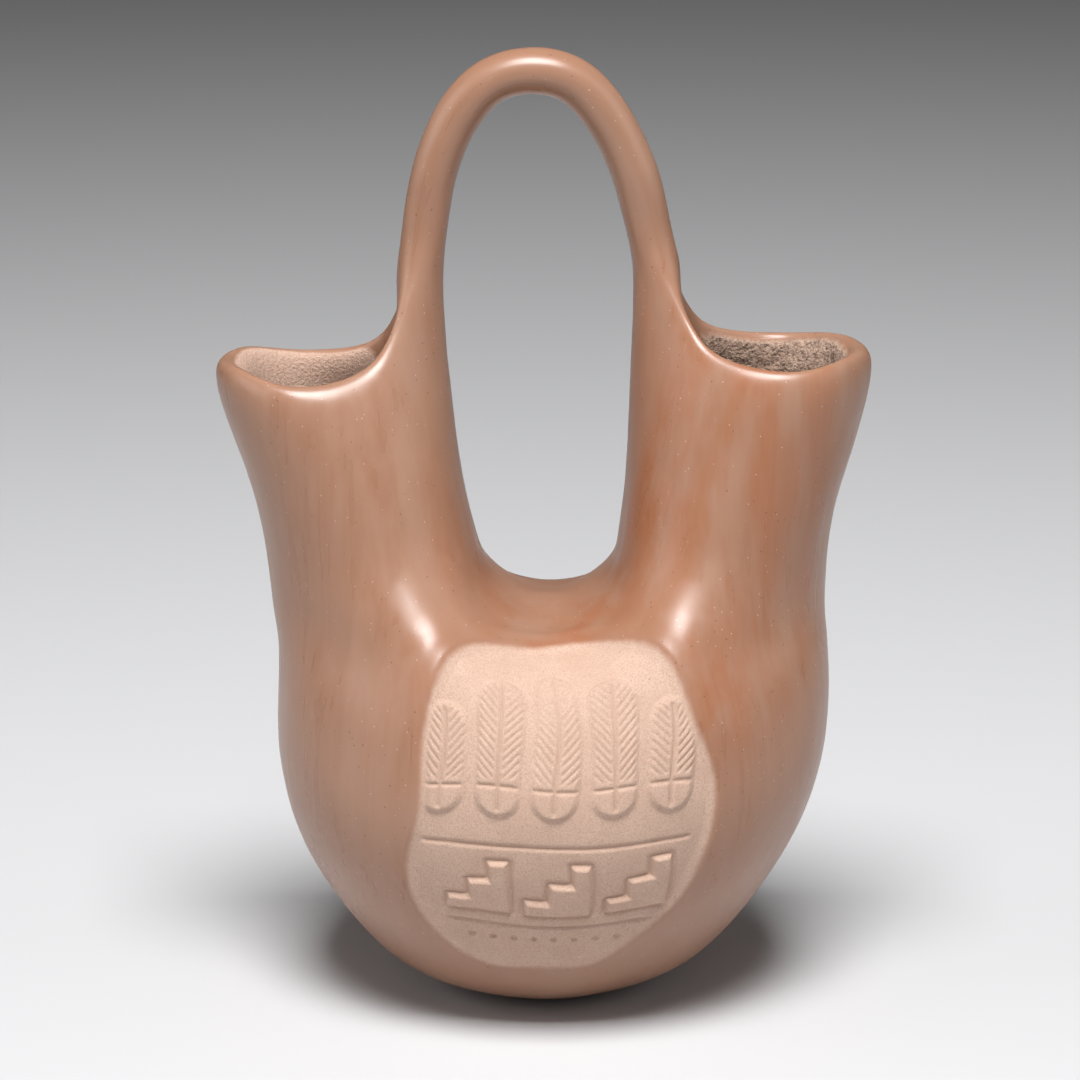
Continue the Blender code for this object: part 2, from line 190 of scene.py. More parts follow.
def body_ring(bm, height):
    """A ring of the body, from the front round by the right."""
    rise = min(height, BELLY_HEIGHT)
    half_width = bowl_arc((LEFT.belly_reach + RIGHT.belly_reach) / 2, BELLY_HEIGHT, rise)
    bulge = (RIGHT.belly_reach - LEFT.belly_reach) / 2 * (rise / BELLY_HEIGHT) ** 2
    half_size = (half_width, body_half_depth(height))
    return ring(bm, BODY_SEGMENTS, (bulge, 0, height), half_size, math.pi)


def neck_ring(bm, side, height, span, half_depth, skew=0.0, tilt=0.0):
    """A ring of a neck, from the face beside the gap round by the front. Skew deepens that side and tilt
    lifts it."""
    gap, reach = span
    place = (side.sign * (gap + reach) / 2, 0, height)
    half_size = (side.sign * (reach - gap) / 2, half_depth)
    verts = ring(bm, NECK_SEGMENTS, place, half_size, math.pi / 2)
    for step, vert in enumerate(verts):
        toward_gap = math.cos(2 * math.pi * step / NECK_SEGMENTS)
        vert.co.y *= 1 + skew * toward_gap
        vert.co.z += tilt * toward_gap
    return verts


def stack(bm, rings):
    """Quads between rings whose points run alike."""
    for lower, upper in zip(rings, rings[1:]):
        for i in range(len(lower)):
            j = (i + 1) % len(lower)
            bm.faces.new((lower[i], lower[j], upper[j], upper[i]))


def add_body(bm):
    """The bowl up to the shoulder. Returns the shoulder ring."""
    rings = [body_ring(bm, height) for height in (*RING_HEIGHTS, SHOULDER_HEIGHT)]
    sole_radius = FOOT_RADIUS * SOLE_SHARE
    sole = ring(bm, BODY_SEGMENTS, (0, 0, -FOOT_CROWN), (sole_radius, sole_radius), math.pi)
    stack(bm, [sole, *rings])
    bm.faces.new(list(reversed(sole)))
    bmesh.ops.poke(bm, faces=[bm.faces[:][-1]])
    shoulder = rings[-1]
    shoulder[0].co += Vector((0, SHOULDER_VALLEY, -SHOULDER_VALLEY))
    shoulder[BODY_SEGMENTS // 2].co += Vector((0, -SHOULDER_VALLEY, -SHOULDER_VALLEY))
    return shoulder


def add_saddle(bm):
    """The three points of the saddle's ridge, from front to back."""
    low = SADDLE_HEIGHT - SADDLE_DROP
    ridge = ((-SADDLE_HALF_DEPTH, low), (0, SADDLE_HEIGHT), (SADDLE_HALF_DEPTH, low))
    return [bm.verts.new((SADDLE_SHIFT, depth, height)) for depth, height in ridge]


def add_neck(bm, side, shoulder, saddle, ease_layer):
    """A neck on its half of the shoulder and the saddle. Returns its rim ring."""
    half = [shoulder[side.sign * i] for i in range(BODY_SEGMENTS // 2 + 1)]
    base = [saddle[1], saddle[0], *half, saddle[2]]
    foot_height = SADDLE_HEIGHT + NECK_FOOT_RISE - NECK_FOOT_TILT
    foot = neck_ring(
        bm, side, foot_height, side.foot, NECK_FOOT_HALF_DEPTH, NECK_FOOT_SKEW, NECK_FOOT_TILT
    )
    waist = neck_ring(bm, side, WAIST_HEIGHT, side.waist, WAIST_HALF_DEPTH, WAIST_SKEW)
    middle = neck_ring(bm, side, MIDDLE_HEIGHT, side.middle, MIDDLE_HALF_DEPTH)
    rim = neck_ring(bm, side, side.rim_height, side.mouth, side.mouth_half_depth)
    stack(bm, [base, foot, waist, middle, rim])
    shape_rim(rim, side)
    ease([rim[1], rim[2], rim[-2], rim[-1]], ease_layer, LIP_EASE)
    ease(foot[2:-1] + waist[2:-1] + half[1:-1], ease_layer, SHOULDER_EASE)
    return rim


def shape_rim(rim, side):
    """Lifts the outer end of the mouth, draws the lips together towards the leg and lets them climb."""
    middle, corners, flanks = rim[0], (rim[1], rim[-1]), (rim[2], rim[-2])
    for step, vert in enumerate(rim):
        vert.co.z += side.tip_rise * math.sin(math.pi * step / NECK_SEGMENTS) ** TIP_FOCUS
    for vert in flanks:
        vert.co.y *= MOUTH_PINCH
        vert.co.z += ROOT_RISE * FLANK_CLIMB
    for vert in corners:
        vert.co.x = side.sign * (side.mouth[0] + side.corner_width)
        vert.co.y = math.copysign(ROOT_HALF_DEPTH, vert.co.y)
        vert.co.z += ROOT_RISE
    middle.co.z += ROOT_RISE


def leg_root(bm, side, rim, inner_of):
    """Opens the two rim faces beside the gap. Returns their six corners, gap side first, by the front."""
    front, middle, back = rim[1], rim[0], rim[-1]
    for pair in ((front, middle), (middle, back)):
        corners = set(pair) | {inner_of[v] for v in pair}
        face = next(f for f in pair[0].link_faces if set(f.verts) == corners)
        bm.faces.remove(face)
    bm.edges.remove(bm.edges.get((middle, inner_of[middle])))
    for vert in (front, back):
        inward = -math.copysign(math.cos(LIP_TURN), vert.co.y)
        step = Vector((side.sign * math.sin(LIP_TURN), inward, 0))
        inner_of[vert].co = vert.co + step * LIP_THICKNESS
    inner_of[middle].co = middle.co + Vector((side.sign * side.root_width, 0, 0))
    return [middle, front, inner_of[front], inner_of[middle], inner_of[back], back]


def thicken_tip(rim, inner_of):
    """Leaves the lip thicker at the outer end of the mouth, and slopes it inwards."""
    tip = rim[NECK_SEGMENTS // 2]
    inward = -math.copysign(TIP_THICKNESS, tip.co.x)
    inner_of[tip].co = tip.co + Vector((inward, 0, -TIP_FALL))


def arch_frame(turn):
    """Centre of the handle and the direction to the inside of the arch, at a turn from the left leg."""
    half_span = LEFT.handle_half_span if turn < math.pi / 2 else RIGHT.handle_half_span
    rise = HANDLE_TOP - HANDLE_THICKNESS / 2 - SPRING_HEIGHT
    share = abs(math.cos(turn)) ** (2 / ARCH_FULLNESS)
    across = -math.copysign(share, math.cos(turn))
    up = math.sin(turn)
    centre = Vector((across * half_span + HANDLE_LEAN * up, 0, SPRING_HEIGHT + rise * up))
    outward_x = math.copysign(ARCH_FULLNESS * share ** (ARCH_FULLNESS - 1), across) / half_span
    inward = -Vector((outward_x, 0, 2 * up / rise)).normalized()
    return centre, inward


def handle_ring(bm, centre, inward, half_thickness, half_depth):
    """Six points round the handle, gap side first and then by the front."""
    made = []
    for step in range(LEG_SEGMENTS):
        angle = 2 * math.pi * step / LEG_SEGMENTS
        across = inward * (half_thickness * math.cos(angle))
        made.append(bm.verts.new(centre + across - Vector((0, half_depth * math.sin(angle), 0))))
    return made


def ease(verts, ease_layer, weight):
    """Marks points where a thumb drew the clay smooth."""
    for vert in verts:
        vert[ease_layer][0] = weight


def add_handle(bm, left_root, right_root, handle_layer, ease_layer):
    """The stirrup from one climbing rim to the other."""
    arch = []
    for step in range(1, ARCH_STEPS):
        centre, inward = arch_frame(math.pi * step / ARCH_STEPS)
        arch.append(handle_ring(bm, centre, inward, HANDLE_THICKNESS / 2, HANDLE_DEPTH / 2))
    for vert in itertools.chain(*arch):
        vert[handle_layer] = 1.0
    ease([*left_root, *right_root], ease_layer, ROOT_EASE)
    ease([*arch[0], *arch[-1]], ease_layer, LEG_EASE)
    stack(bm, [left_root, *arch, right_root])


def thicken(bm, wall, inside_layer):
    """Gives the open skin an inner face and lips. Returns the inner point of each outer point."""
    bm.normal_update()
    outer_faces = list(bm.faces)
    rim_edges = [edge for edge in bm.edges if edge.is_boundary]
    inner_of = {v: bm.verts.new(v.co - v.normal * v.calc_shell_factor() * wall) for v in bm.verts[:]}
    for vert in inner_of.values():
        vert[inside_layer] = 1.0
    for face in outer_faces:
        bm.faces.new([inner_of[v] for v in reversed(face.verts)])
    for edge in rim_edges:
        a, b = edge.verts
        bm.faces.new((a, b, inner_of[b], inner_of[a]))
    bmesh.ops.recalc_face_normals(bm, faces=bm.faces)
    return inner_of


def fit_cage(obj):
    """Swells the cage until the smooth surface passes through the points that were drawn. Points where
    other than four edges meet only guide the surface."""
    mesh = obj.data
    edge_count = [0] * len(mesh.vertices)
    for edge in mesh.edges:
        for i in edge.vertices:
            edge_count[i] += 1
    drawn = [(i, vert.co.copy()) for i, vert in enumerate(mesh.vertices) if edge_count[i] == 4]
    for _ in range(FIT_STEPS):
        graph = bpy.context.evaluated_depsgraph_get()
        smooth = obj.evaluated_get(graph).data.vertices
        misses = [want - smooth[i].co for i, want in drawn]
        for (i, _want), miss in zip(drawn, misses):
            mesh.vertices[i].co += miss
        mesh.update()


def smooth_skin():
    """The whole vase as one smooth mesh. Its points note whether they lie inside and on the handle."""
    bm = bmesh.new()
    inside_layer = bm.verts.layers.float.new("inside")
    handle_layer = bm.verts.layers.float.new("handle")
    ease_layer = bm.verts.layers.deform.verify()
    shoulder = add_body(bm)
    saddle = add_saddle(bm)
    rims = [add_neck(bm, side, shoulder, saddle, ease_layer) for side in (LEFT, RIGHT)]
    bmesh.ops.recalc_face_normals(bm, faces=bm.faces)
    inner_of = thicken(bm, WALL, inside_layer)
    for rim in rims:
        thicken_tip(rim, inner_of)
    roots = [leg_root(bm, side, rim, inner_of) for side, rim in zip((LEFT, RIGHT), rims)]
    for root, bare in zip(roots, ROOT_BARE):
        for vert in root:
            vert[inside_layer] = bare
    add_handle(bm, *roots, handle_layer, ease_layer)
    bmesh.ops.recalc_face_normals(bm, faces=bm.faces)
    cage = new_object("vase_cage", new_mesh("vase_cage", bm))
    cage.modifiers.new("smooth", "SUBSURF").levels = FIT_LEVELS
    fit_cage(cage)
    cage.vertex_groups.new(name="ease")
    drawn_smooth = cage.modifiers.new("drawn_smooth", "SMOOTH")
    drawn_smooth.vertex_group = "ease"
    drawn_smooth.factor = EASE_FACTOR
    drawn_smooth.iterations = EASE_STEPS
    cage.modifiers.new("finer", "SUBSURF").levels = SKIN_LEVELS - FIT_LEVELS
    graph = bpy.context.evaluated_depsgraph_get()
    skin = bpy.data.meshes.new_from_object(cage.evaluated_get(graph))
    skin.name = "vase_skin"
    bpy.data.objects.remove(cage)
    return skin


def smoothstep(low, high, value):
    share = np.clip((value - low) / (high - low), 0.0, 1.0)
    return share * share * (3 - 2 * share)


# Carved panel, in millimetres on the front of the belly
MM = 0.001
BELLY_CENTRE = Vector((0.0005, 0.0, 0.046))
PANEL_RADIUS = 50.0
PANEL_HALF_WIDTH = 31.0
PANEL_HALF_HEIGHT = 39.5
PANEL_SHIFT = 1.8
PANEL_LIFT = 4.2
PANEL_SQUARENESS = 2.5
PANEL_MARGIN = 6.0
PANEL_DEPTH = 0.95
TOP_BEVEL = 3.2
BOTTOM_BEVEL = 6.5
# The outline wanders as a hand-held knife does: waves round it, their swing and where they start
OUTLINE_WAVES = ((2, 1.3, -0.6), (3, 1.4, 2.2), (5, 0.9, 2.0), (9, 0.4, 0.9))
BROW_HEIGHT = 0.38
BROW_PLACE = 2.6
BROW_WIDTH = 4.4
BROW_RISE = (8.0, 30.0)
BROW_REACH = 3 * BROW_PLACE
POLISH_EDGE = 2.6
CARVING_MARGIN = (1.5, 3.5)
# Bends of a hand-drawn line: swing, lengths of the wave across and up, and where it starts
BENDS_ACROSS = ((0.40, math.inf, 5.3, 1.0), (0.22, 3.9, 4.3, 0.0))
BENDS_UP = ((0.42, 6.1, math.inf, 0.6), (0.20, -5.0, 3.7, 0.0))
LEAST_RADIUS = 1e-6


def panel_place(points):
    """Where points lie on the panel, in millimetres across and up, as if the belly were rolled out flat
    from the middle of the front."""
    x, y, z = ((points - np.array(BELLY_CENTRE)) / MM).T
    off_axis = np.hypot(x, z)
    angle = np.arctan2(off_axis, -y)
    stretch = PANEL_RADIUS * angle / np.maximum(off_axis, LEAST_RADIUS)
    return x * stretch, z * stretch


def panel_inset(u, v):
    """Distance inside the panel's hand-cut outline, negative outside it."""
    across = (u - PANEL_SHIFT) / PANEL_HALF_WIDTH
    up = (v - PANEL_LIFT) / PANEL_HALF_HEIGHT
    spread_out = np.abs(across) ** PANEL_SQUARENESS + np.abs(up) ** PANEL_SQUARENESS
    inset = (1 - spread_out ** (1 / PANEL_SQUARENESS)) * PANEL_HALF_WIDTH
    turn = np.arctan2(up, across)
    for count, swing, start in OUTLINE_WAVES:
        inset = inset + swing * np.sin(count * turn + start)
    return inset


def hand_drawn(u, v):
    """Bends the rolled-out panel a little, so that no line on it is quite straight."""

    def bend(waves):
        return sum(swing * np.sin(u / across + v / up + start) for swing, across, up, start in waves)

    return u + bend(BENDS_ACROSS), v + bend(BENDS_UP)


def rounded_box(u, v, middle, half_size, radius):
    """Distance inside a box with rounded corners."""
    across = np.abs(u - middle[0]) - half_size[0] + radius
    up = np.abs(v - middle[1]) - half_size[1] + radius
    outside = np.hypot(np.maximum(across, 0), np.maximum(up, 0))
    return radius - outside - np.minimum(np.maximum(across, up), 0)


def line_mark(distance, width):
    """How strong a soft line is at a distance from its middle, from 0 to 1."""
    return np.exp(-((distance / (0.5 * width)) ** 2))


FEATHER_STEP = 11.2
FEATHER_HALF_WIDTH = 5.0
FEATHER_FOOT = 2.0
FEATHER_TOPS = (25.0, 30.6, 33.4, 31.0, 25.4)
SOFT_EDGE = 1.7
QUILL_WIDTH = 0.85
BARB_STEP = 1.75
BARB_WIDTH = 0.62
BARB_SLANT = 1.1
FEATHER_BAND = 8.4
FEATHER_ROUNDNESS = 0.98
FEATHER_RIM = (0.6, 1.3)
QUILL_START = (1.2, 2.4)
BARB_START = (FEATHER_BAND + 1.0, FEATHER_BAND + 2.0)
BARB_CLEARANCE = (0.6, 1.1)
BARB_DEPTH = 0.7
BAND_DEPTH = 0.9


def feathers(u, v):
    """Height from 0 to 1 of a row of upright feathers, and the depth of their scratched lines."""
    height = np.zeros_like(u)
    marks = np.zeros_like(u)
    for place, top in enumerate(FEATHER_TOPS):
        middle = PANEL_SHIFT + (place - (len(FEATHER_TOPS) - 1) / 2) * FEATHER_STEP
        half = (top - FEATHER_FOOT) / 2
        box = (FEATHER_HALF_WIDTH, half)
        centre = (middle, FEATHER_FOOT + half)
        inset = rounded_box(u, v, centre, box, FEATHER_HALF_WIDTH * FEATHER_ROUNDNESS)
        height = np.maximum(height, smoothstep(0.0, SOFT_EDGE, inset))
        across = np.abs(u - middle)
        quill = line_mark(across, QUILL_WIDTH) * smoothstep(*QUILL_START, inset)
        slant = (v - BARB_SLANT * across) / BARB_STEP
        barb = line_mark((slant - np.round(slant)) * BARB_STEP, BARB_WIDTH)
        barb *= smoothstep(*BARB_START, v) * smoothstep(*BARB_CLEARANCE, across)
        band = line_mark(v - FEATHER_BAND, QUILL_WIDTH)
        lines = np.maximum.reduce([quill, BARB_DEPTH * barb, BAND_DEPTH * band])
        marks = np.maximum(marks, smoothstep(*FEATHER_RIM, inset) * lines)
    return height, marks


STAIR_COUNT = 3
STAIR_WIDTH = 16.0
STAIR_GAP = 2.2
STAIR_FOOT = -19.0
STAIR_TREADS = 3
STAIR_RISE = 4.2
STAIR_EDGE = 1.2
STAIR_LINE = 1.1
STAIR_CORNER = 0.7
BAR_HEIGHTS = (-3.2, -21.9)
BAR_REACHES = (26.5, 22.5)
BAR_WIDTH = 0.95
BAR_END = 0.8
PUNCH_ROW = -25.6
PUNCH_STEP = 4.3
PUNCH_COUNT = 9
PUNCH_RADIUS = 0.95
PUNCH_FLOOR = 0.35 * PUNCH_RADIUS


def stairs(u, v):
    """Height from 0 to 1 of a row of stairs that climb to the right, and depth of the lines round them."""
    inset = np.full_like(u, -math.inf)
    tread = (STAIR_WIDTH - STAIR_GAP) / STAIR_TREADS
    for unit in range(STAIR_COUNT):
        right = PANEL_SHIFT + (unit + 1 - STAIR_COUNT / 2) * STAIR_WIDTH - STAIR_GAP / 2
        for step in range(STAIR_TREADS):
            half_width = tread * (STAIR_TREADS - step) / 2
            half_height = STAIR_RISE * (step + 1) / 2
            middle = (right - half_width, STAIR_FOOT + half_height)
            block = rounded_box(u, v, middle, (half_width, half_height), STAIR_CORNER)
            inset = np.maximum(inset, block)
    # The lines round the stairs are sunk, and the sand is later painted darker along them as shade at the
    # stairs' edges.
    return smoothstep(0.0, STAIR_EDGE, inset), line_mark(inset, STAIR_LINE)


def bars_and_punches(u, v):
    """Depth of the level lines and of the row of punched dots."""
    marks = np.zeros_like(u)
    for height, reach in zip(BAR_HEIGHTS, BAR_REACHES):
        ends = smoothstep(reach + BAR_END, reach - BAR_END, np.abs(u - PANEL_SHIFT))
        marks = np.maximum(marks, line_mark(v - height, BAR_WIDTH) * ends)
    for place in range(PUNCH_COUNT):
        middle = PANEL_SHIFT + (place - (PUNCH_COUNT - 1) / 2) * PUNCH_STEP
        distance = np.hypot(u - middle, v - PUNCH_ROW)
        marks = np.maximum(marks, smoothstep(PUNCH_RADIUS, PUNCH_FLOOR, distance))
    return marks


FEATHER_HEIGHT = 0.80
STAIR_HEIGHT = 0.75
SCRATCH_DEPTH = 0.40


def carving(u, v):
    """Depth of the carved panel in millimetres, how far the polish is cut away, and the depth of lines,
    which is also the share of painted shade in them.
    """
    inset = panel_inset(u, v)
    low = smoothstep(0.0, -PANEL_HALF_HEIGHT, v)
    bevel = TOP_BEVEL + (BOTTOM_BEVEL - TOP_BEVEL) * low
    sunk = smoothstep(0.0, 1.0, inset / bevel)
    bent_u, bent_v = hand_drawn(u, v)
    feather_height, feather_marks = feathers(bent_u, bent_v)
    stair_height, stair_marks = stairs(bent_u, bent_v)
    raised = np.maximum(FEATHER_HEIGHT * feather_height, STAIR_HEIGHT * stair_height)
    marks = np.maximum.reduce([feather_marks, stair_marks, bars_and_punches(bent_u, bent_v)])
    clear = smoothstep(*CARVING_MARGIN, inset)
    brow = BROW_HEIGHT * line_mark(inset + BROW_PLACE, BROW_WIDTH) * smoothstep(*BROW_RISE, v)
    depth = sunk * PANEL_DEPTH * (1 - raised * clear) + SCRATCH_DEPTH * marks * clear - brow
    return depth, smoothstep(0.0, POLISH_EDGE, inset), marks * clear


def refine_panel(skin):
    """Gives the clay under the panel enough points to carve."""
    bm = bmesh.new()
    bm.from_mesh(skin)
    inside_layer = bm.verts.layers.float["inside"]
    outer = [f for f in bm.faces if f.verts[0][inside_layer] < LEAST_SHARE]
    front = [f for f in outer if f.calc_center_median().y < 0]
    centres = np.array([f.calc_center_median() for f in front])
    inset = panel_inset(*panel_place(centres))
    fine = [f for f, room in zip(front, inset) if room > -PANEL_MARGIN and f.verts[0].co.z < SADDLE_HEIGHT]
    edges = unique(edge for face in fine for edge in face.edges)
    made = bmesh.ops.subdivide_edges(bm, edges=edges, cuts=PANEL_CUTS, use_grid_fill=True)
    new_verts = [item for item in made["geom_inner"] if isinstance(item, bmesh.types.BMVert)]
    for _ in range(PANEL_SMOOTHING):
        bmesh.ops.smooth_vert(
            bm, verts=new_verts, factor=EASE_FACTOR, use_axis_x=True, use_axis_y=True, use_axis_z=True
        )
    bm.to_mesh(skin)
    bm.free()


# Handmade surface, as height and width of its unevenness and its place in the noise
HAND_WAVE = (0.00022, 0.016, 3.1)
FINGER_WAVE = (0.00005, 0.006, 7.7)
INNER_LUMP = (0.00055, 0.008, 1.3)
INNER_PIT = (0.00032, 0.0024, 5.9)
NOISE_STEP = Vector((1.0, 0.37, 0.71))
STEEP_BAND = (0.60, 0.98)
LEAST_SHARE = 0.01
LEFT_BAND = (0.55, 0.85)  # where, across the lip, the polish ends
RIGHT_BAND = (0.68, 0.96)
LEFT_SMOOTH = 0.016  # how far below the rim the inside is still wiped smooth and pale, before painted shade darkens it deeper in
RIGHT_SMOOTH = 0.004
RIGHT_COARSE_AND_SHADE = 1.6  # how much coarser the right mouth is left than the left one, and how much darker it is painted, as shade
RIGHT_COARSE_AND_SHADE_RISE = 0.0065  # how far above the rim's mean height its coarse clay and painted shade begin


def read_numbers(items, name, kind=np.int32):
    values = np.empty(len(items), kind)
    items.foreach_get(name, values)
    return values


def read_floats(mesh, name):
    return read_numbers(mesh.attributes[name].data, "value", np.float32).astype(float)


def write_floats(mesh, name, values):
    written = mesh.attributes.new(name, "FLOAT", "POINT")
    written.data.foreach_set("value", values.astype(np.float32))


def read_vectors(items, name):
    values = np.empty(len(items) * 3, np.float32)
    items.foreach_get(name, values)
    return values.reshape(-1, 3).astype(float)


def write_vectors(mesh, name, values):
    written = mesh.attributes.new(name, "FLOAT_VECTOR", "POINT")
    written.data.foreach_set("vector", values.astype(np.float32).ravel())


def uneven(points, height, size, offset):
    """Smooth unevenness of a given height and width."""
    shift = NOISE_STEP * offset
    return height * np.array([noise.noise(Vector(point) / size + shift) for point in points])


ARCH_SAMPLES = 241


def handle_strokes(points, weight):
    """Places along the handle: across the coil, through it and along the arch."""
    turns = np.linspace(0.0, math.pi, ARCH_SAMPLES)
    frames = [arch_frame(turn) for turn in turns]
    centres = np.array([centre for centre, _inward in frames])
    inwards = np.array([inward for _centre, inward in frames])
    along = np.concatenate([[0.0], np.cumsum(np.linalg.norm(np.diff(centres, axis=0), axis=1))])
    strokes = points.copy()
    for i in np.flatnonzero(weight > 0):
        gaps = centres - points[i]
        nearest = int(np.argmin((gaps * gaps).sum(axis=1)))
        across = -gaps[nearest] @ inwards[nearest]
        legs = min(points[i][2] - SPRING_HEIGHT, 0.0)
        side = 1.0 if nearest < len(turns) // 2 else -1.0
        strokes[i] = (across, points[i][1], along[nearest] + side * legs)
    return strokes


# Places where the clay turns orange, most of them fire flushes: middle, reach and strength
WARM_STRETCH = 1.6  # how much farther they reach up and down
WARM_PLACES = (
    (0.002, -0.024, 0.079, 0.012, 0.8),
    (0.002, 0.024, 0.079, 0.012, 0.8),
    (-0.014, -0.012, 0.092, 0.011, 0.5),
    (0.015, -0.012, 0.094, 0.012, 0.55),
    (0.034, -0.038, 0.073, 0.0075, 1.0),
    (-0.022, -0.036, 0.075, 0.007, 0.5),
    # These two also make the right neck darker.
    (0.042, -0.016, 0.098, 0.030, 0.40),
    (0.040, -0.020, 0.116, 0.026, 0.55),
    (-0.030, 0.036, 0.066, 0.016, 0.5),
    (0.020, 0.042, 0.040, 0.018, 0.35),
)


def warmth(points):
    """How orange the clay fired, from 0 to 1, strongest by the saddle and between the necks."""
    total = np.zeros(len(points))
    for x, y, z, reach, strength in WARM_PLACES:
        gap = (points - (x, y, z)) / (reach, reach, WARM_STRETCH * reach)
        total += strength * np.exp(-(gap * gap).sum(axis=1))
    return np.clip(total, 0.0, 1.0)


def work_surface(skin):
    """Adds the maker's hand to the smooth skin: waves, the rough inside, the flat foot and the carving."""
    points = read_vectors(skin.vertices, "co")
    normals = read_vectors(skin.vertices, "normal")
    inside = read_floats(skin, "inside")
    handle = read_floats(skin, "handle")
    on_left = points[:, 0] < 0
    rough = np.where(on_left, smoothstep(*LEFT_BAND, inside), smoothstep(*RIGHT_BAND, inside))
    # Deeper below the rim the inside grows lumpier and is painted darker as shade; the right mouth more
    # so.
    rim = np.where(on_left, LEFT.rim_height, RIGHT.rim_height + RIGHT_COARSE_AND_SHADE_RISE)
    wiped = np.where(on_left, LEFT_SMOOTH, RIGHT_SMOOTH)
    coarse_and_shade = np.where(on_left, 1.0, RIGHT_COARSE_AND_SHADE)
    deep_and_shade = coarse_and_shade * smoothstep(0.0, 1.0, (rim - points[:, 2]) / wiped)
    u, v = panel_place(points)
    depth, cut, lines = carving(u, v)
    front = (points[:, 1] < 0) & (inside < LEAST_SHARE) & (handle < LEAST_SHARE)
    front &= panel_inset(u, v) > -BROW_REACH
    depth, cut, lines = (np.where(front, values, 0.0) for values in (depth, cut, lines))
    swell = (1 - rough) * (uneven(points, *HAND_WAVE) + uneven(points, *FINGER_WAVE))
    swell += rough * deep_and_shade * (uneven(points, *INNER_LUMP) + uneven(points, *INNER_PIT))
    swell -= depth * MM
    worked = points + normals * swell[:, None]
    worked[:, 2] = np.maximum(worked[:, 2], 0.0)
    skin.vertices.foreach_set("co", worked.astype(np.float32).ravel())
    steep = np.maximum(smoothstep(*STEEP_BAND, np.hypot(normals[:, 0], normals[:, 1])), handle)
    # groove_shade: share of painted shade in the sunk lines, for the sandy clay.
    shares = {"rough": rough, "steep": steep, "deep_and_shade": deep_and_shade, "carved": cut, "groove_shade": lines}
    shares["warm"] = warmth(points) * (1 - handle)
    for name, values in shares.items():
        write_floats(skin, name, values)
    write_vectors(skin, "strokes", handle_strokes(points, handle))
    skin.update()


def body_joints():
    """The joints between the moulded base, the courses of the belly and the collar, from below."""
    count = len(BELLY_COURSES)
    step = (SHOULDER_JOINT - BASE_JOINT) / count
    return [Joint(BASE_JOINT + step * i, 0.0, BELLY_HALF_DEPTH, JOINT_SLOPE) for i in range(count + 1)]


def neck_joints(side):
    """The joints of a neck from below: under the neck coil, the lip coil, the leg's root and the arch."""
    found = []
    for height, (gap, reach) in ((NECK_JOINT, side.waist), (LIP_JOINT, side.middle)):
        centre = (gap + reach) / 2
        found.append(Joint(height, side.sign * centre, centre - gap, JOINT_SLOPE))
    leg_centre = side.sign * side.handle_half_span
    for height in (side.rim_height + LEG_JOINT_RISE, ARCH_JOINT):
        found.append(Joint(height, leg_centre, 0.0, 0.0))
    return found


def fall_at(joint, points):
    """Height of a joint under or over points."""
    from_centre = np.hypot(points[..., 0] - joint.centre, points[..., 1])
    return joint.height + joint.slope * (from_centre - joint.wall_radius)


def near_joint(cut, points, band):
    """The numbers of the points that lie near a cut: a joint and the side that it crosses, or 0."""
    joint, sign = cut
    near = np.abs(points[:, 2] - fall_at(joint, points)) < band
    if sign:
        near &= points[:, 0] * sign > 0
    return np.flatnonzero(near)


def rolled(joint, verts, sign):
    """Rolls the clay about a joint out flat, or back again with a sign of 1."""
    for vert in verts:
        vert.co.z += sign * fall_at(joint, np.array(vert.co))


CUT_BAND = 0.003
ON_JOINT = CUT_BAND / 3
SAME_POINT = 1e-5


def cut_joints(bm, cuts):
    """Draws the line of each joint on the skin."""
    bm.faces.ensure_lookup_table()
    starts = np.array([face.verts[0].co for face in bm.faces])
    bands = [[bm.faces[i] for i in near_joint(cut, starts, CUT_BAND)] for cut in cuts]
    for (joint, _sign), faces in zip(cuts, bands):
        verts = unique(vert for face in faces for vert in face.verts)
        edges = unique(edge for face in faces for edge in face.edges)
        rolled(joint, verts, -1)
        made = bmesh.ops.bisect_plane(
            bm, geom=[*verts, *edges, *faces], dist=SAME_POINT, use_snap_center=True,
            plane_co=(0, 0, 0), plane_no=(0, 0, 1),
        )
        drawn = [item for item in made["geom_cut"] if isinstance(item, bmesh.types.BMVert)]
        rolled(joint, unique([*verts, *drawn]), 1)


def piece_names():
    """The pieces of clay, by the number that face_pieces gives them."""
    names = ["moulded_base", *BELLY_COURSES, "saddle_collar"]
    for side in (LEFT, RIGHT):
        names += [f"{side.name}_neck_coil", f"{side.name}_lip_coil", f"{side.name}_handle_root"]
    return [*names, "handle_arch"]


def face_pieces(centres):
    """The number of the piece of clay that each face belongs to."""
    numbers = sum((centres[:, 2] > fall_at(joint, centres)).astype(int) for joint in body_joints())
    first = len(BELLY_COURSES) + 2
    for side in (LEFT, RIGHT):
        *coils, _arch = neck_joints(side)
        for step, joint in enumerate(coils):
            above = (centres[:, 2] > fall_at(joint, centres)) & (centres[:, 0] * side.sign > 0)
            numbers = np.where(above, first + step, numbers)
        first += len(coils)
    return np.where(centres[:, 2] > ARCH_JOINT, first, numbers)


